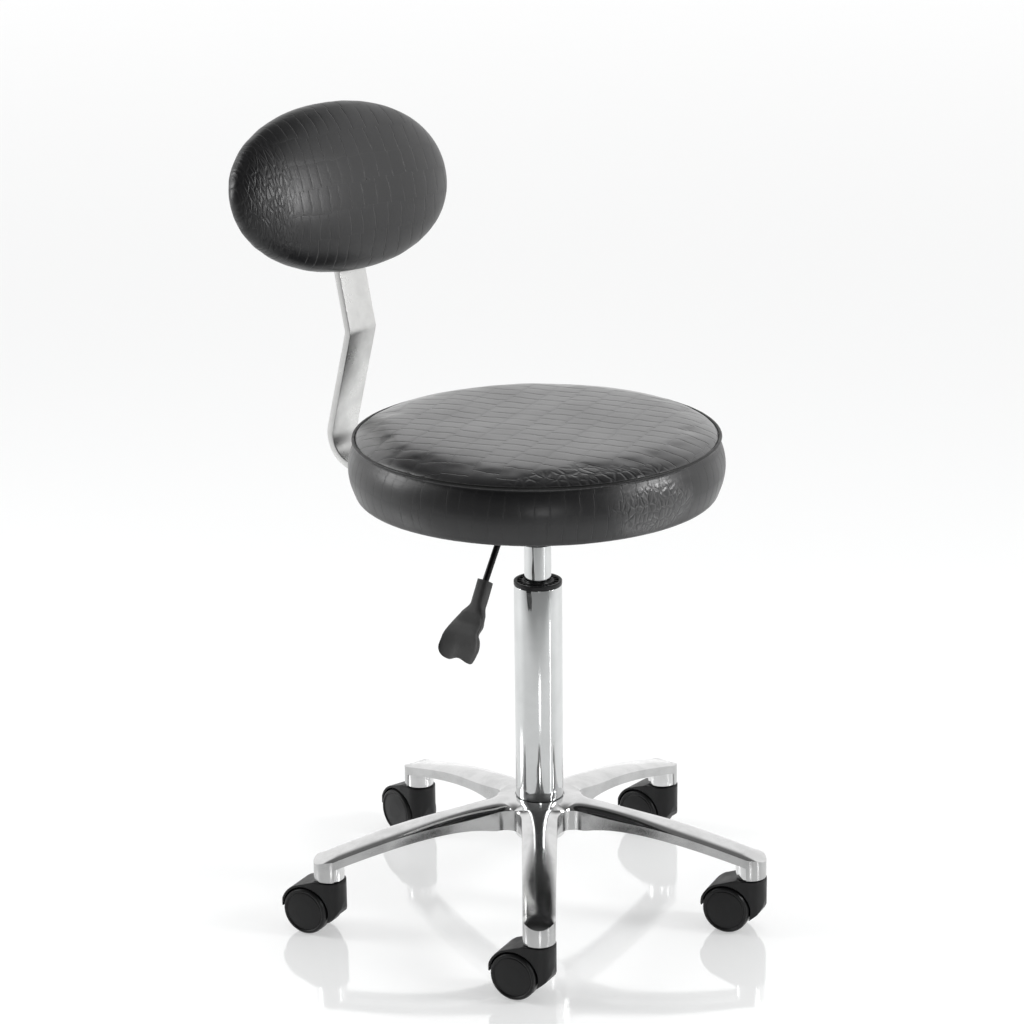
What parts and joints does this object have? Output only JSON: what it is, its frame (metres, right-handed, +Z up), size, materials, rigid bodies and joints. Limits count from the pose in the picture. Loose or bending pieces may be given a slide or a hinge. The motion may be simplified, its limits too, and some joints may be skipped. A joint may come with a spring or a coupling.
{
  "type": "rolling stylist stool",
  "caption": "Wheeled salon stool: round padded seat and oval backrest in embossed vinyl, gas-lift column with a side lever, polished star base on twin-wheel casters.",
  "frame": {"origin": "on the floor, under the middle of the whole stool's bounding box; the column stands 19 mm to the sitter's right of it and 32 mm in front of it", "axes": "+Z up, the sitter faces -Y, the backrest is at +Y, the lever is at -X, the sitter's right"},
  "size_m": [0.4648, 0.5327, 0.8269],
  "materials": {
    "polished_aluminium": "polished",
    "chrome": "mirror polished",
    "zinc_steel": "zinc plated",
    "satin_steel": "satin plated",
    "black_steel": "blackened",
    "black_painted_steel": "semi-gloss black",
    "black_plastic": "moulded satin",
    "black_tread": "moulded satin",
    "bumper_rubber": "matt",
    "embossed_vinyl": "embossed, semi-gloss",
    "foam": "open-cell foam",
    "plywood": "raw"
  },
  "bodies": {
    "base": {"base_star": "polished_aluminium", "column_tube": "chrome", "guide_bush": "black_plastic", "thrust_bearing": "zinc_steel"},
    "spindle": {"piston_rod": "chrome", "piston_head": "zinc_steel", "rod_clip": "zinc_steel", "bumper": "bumper_rubber"},
    "seat": {"gas_cylinder": "chrome", "rod_guide": "black_plastic", "taper_socket": "black_painted_steel", "seat_plate": "black_painted_steel", "bar_bracket": "black_painted_steel", "seat_board": "plywood", "seat_foam": "foam", "seat_cover": "embossed_vinyl", "seat_piping": "embossed_vinyl", "lever_pivot_pin": "zinc_steel", "backrest_bar": "satin_steel", "backrest_board": "plywood", "backrest_foam": "foam", "backrest_cover": "embossed_vinyl", "backrest_rear_panel": "embossed_vinyl", "backrest_screw_1": "zinc_steel", "backrest_screw_2": "zinc_steel", "bar_bolt_1": "zinc_steel", "bar_bolt_2": "zinc_steel", "seat_bolt_1": "zinc_steel", "seat_bolt_2": "zinc_steel", "seat_bolt_3": "zinc_steel", "seat_bolt_4": "zinc_steel"},
    "lever": {"lever_yoke": "black_painted_steel", "lever_rod": "black_steel", "lever_paddle": "black_plastic"},
    "valve_pin": {"valve_pin": "zinc_steel"},
    "caster_1": {"caster_1_stem": "zinc_steel", "caster_1_housing": "black_plastic", "caster_1_axle": "zinc_steel"},
    "caster_1_wheel_left": {"caster_1_wheel_left": "black_tread"},
    "caster_1_wheel_right": {"caster_1_wheel_right": "black_tread"},
    "caster_2": {"caster_2_stem": "zinc_steel", "caster_2_housing": "black_plastic", "caster_2_axle": "zinc_steel"},
    "caster_2_wheel_left": {"caster_2_wheel_left": "black_tread"},
    "caster_2_wheel_right": {"caster_2_wheel_right": "black_tread"},
    "caster_3": {"caster_3_stem": "zinc_steel", "caster_3_housing": "black_plastic", "caster_3_axle": "zinc_steel"},
    "caster_3_wheel_left": {"caster_3_wheel_left": "black_tread"},
    "caster_3_wheel_right": {"caster_3_wheel_right": "black_tread"},
    "caster_4": {"caster_4_stem": "zinc_steel", "caster_4_housing": "black_plastic", "caster_4_axle": "zinc_steel"},
    "caster_4_wheel_left": {"caster_4_wheel_left": "black_tread"},
    "caster_4_wheel_right": {"caster_4_wheel_right": "black_tread"},
    "caster_5": {"caster_5_stem": "zinc_steel", "caster_5_housing": "black_plastic", "caster_5_axle": "zinc_steel"},
    "caster_5_wheel_left": {"caster_5_wheel_left": "black_tread"},
    "caster_5_wheel_right": {"caster_5_wheel_right": "black_tread"}
  },
  "joints": [
    {"name": "seat_swivel", "type": "hinge", "parent": "base", "child": "spindle", "pos_m": [-0.0193, -0.0321, 0.08], "axis": [0, 0, 1], "continuous": true},
    {"name": "seat_lift", "type": "slide", "parent": "spindle", "child": "seat", "axis": [0, 0, 1], "range_m": [-0.03, 0.105]},
    {"name": "lever_hinge", "type": "hinge", "parent": "seat", "child": "lever", "pos_m": [-0.0493, -0.0321, 0.4461], "axis": [0, 1, 0], "range_deg": [0, 8], "stiffness_Nm_per_rad": 1.5, "springref_deg": -6.88},
    {"name": "valve_slide", "type": "slide", "parent": "seat", "child": "valve_pin", "axis": [0, 0, 1], "range_m": [-0.005, 0]},
    {"name": "caster_1_swivel", "type": "hinge", "parent": "base", "child": "caster_1", "pos_m": [-0.20195, -0.17023, 0.06], "axis": [0, 0, 1], "continuous": true},
    {"name": "caster_1_left_roll", "type": "hinge", "parent": "caster_1", "child": "caster_1_wheel_left", "pos_m": [-0.20586, -0.15011, 0.025], "axis": [-0.9816, -0.1908, 0], "continuous": true},
    {"name": "caster_1_right_roll", "type": "hinge", "parent": "caster_1", "child": "caster_1_wheel_right", "pos_m": [-0.20586, -0.15011, 0.025], "axis": [-0.9816, -0.1908, 0], "continuous": true},
    {"name": "caster_2_swivel", "type": "hinge", "parent": "base", "child": "caster_2", "pos_m": [0.05563, -0.24849, 0.06], "axis": [0, 0, 1], "continuous": true},
    {"name": "caster_2_left_roll", "type": "hinge", "parent": "caster_2", "child": "caster_2_wheel_left", "pos_m": [0.05067, -0.2286, 0.025], "axis": [-0.9703, -0.2419, 0], "continuous": true},
    {"name": "caster_2_right_roll", "type": "hinge", "parent": "caster_2", "child": "caster_2_wheel_right", "pos_m": [0.05067, -0.2286, 0.025], "axis": [-0.9703, -0.2419, 0], "continuous": true},
    {"name": "caster_3_swivel", "type": "hinge", "parent": "base", "child": "caster_3", "pos_m": [0.20966, -0.0277, 0.06], "axis": [0, 0, 1], "continuous": true},
    {"name": "caster_3_left_roll", "type": "hinge", "parent": "caster_3", "child": "caster_3_wheel_left", "pos_m": [0.20966, -0.0072, 0.025], "axis": [-1, 0, 0], "continuous": true},
    {"name": "caster_3_right_roll", "type": "hinge", "parent": "caster_3", "child": "caster_3_wheel_right", "pos_m": [0.20966, -0.0072, 0.025], "axis": [-1, 0, 0], "continuous": true},
    {"name": "caster_4_swivel", "type": "hinge", "parent": "base", "child": "caster_4", "pos_m": [0.04727, 0.18701, 0.06], "axis": [0, 0, 1], "continuous": true},
    {"name": "caster_4_left_roll", "type": "hinge", "parent": "caster_4", "child": "caster_4_wheel_left", "pos_m": [0.05223, 0.2069, 0.025], "axis": [-0.9703, 0.2419, 0], "continuous": true},
    {"name": "caster_4_right_roll", "type": "hinge", "parent": "caster_4", "child": "caster_4_wheel_right", "pos_m": [0.05223, 0.2069, 0.025], "axis": [-0.9703, 0.2419, 0], "continuous": true},
    {"name": "caster_5_swivel", "type": "hinge", "parent": "base", "child": "caster_5", "pos_m": [-0.20711, 0.09892, 0.06], "axis": [0, 0, 1], "continuous": true},
    {"name": "caster_5_left_roll", "type": "hinge", "parent": "caster_5", "child": "caster_5_wheel_left", "pos_m": [-0.21068, 0.11911, 0.025], "axis": [-0.9848, -0.1736, 0], "continuous": true},
    {"name": "caster_5_right_roll", "type": "hinge", "parent": "caster_5", "child": "caster_5_wheel_right", "pos_m": [-0.21068, 0.11911, 0.025], "axis": [-0.9848, -0.1736, 0], "continuous": true}
  ],
  "couplings": [
    {"joint": "valve_slide", "follows": "lever_hinge", "m_per_rad": -0.031}
  ]
}
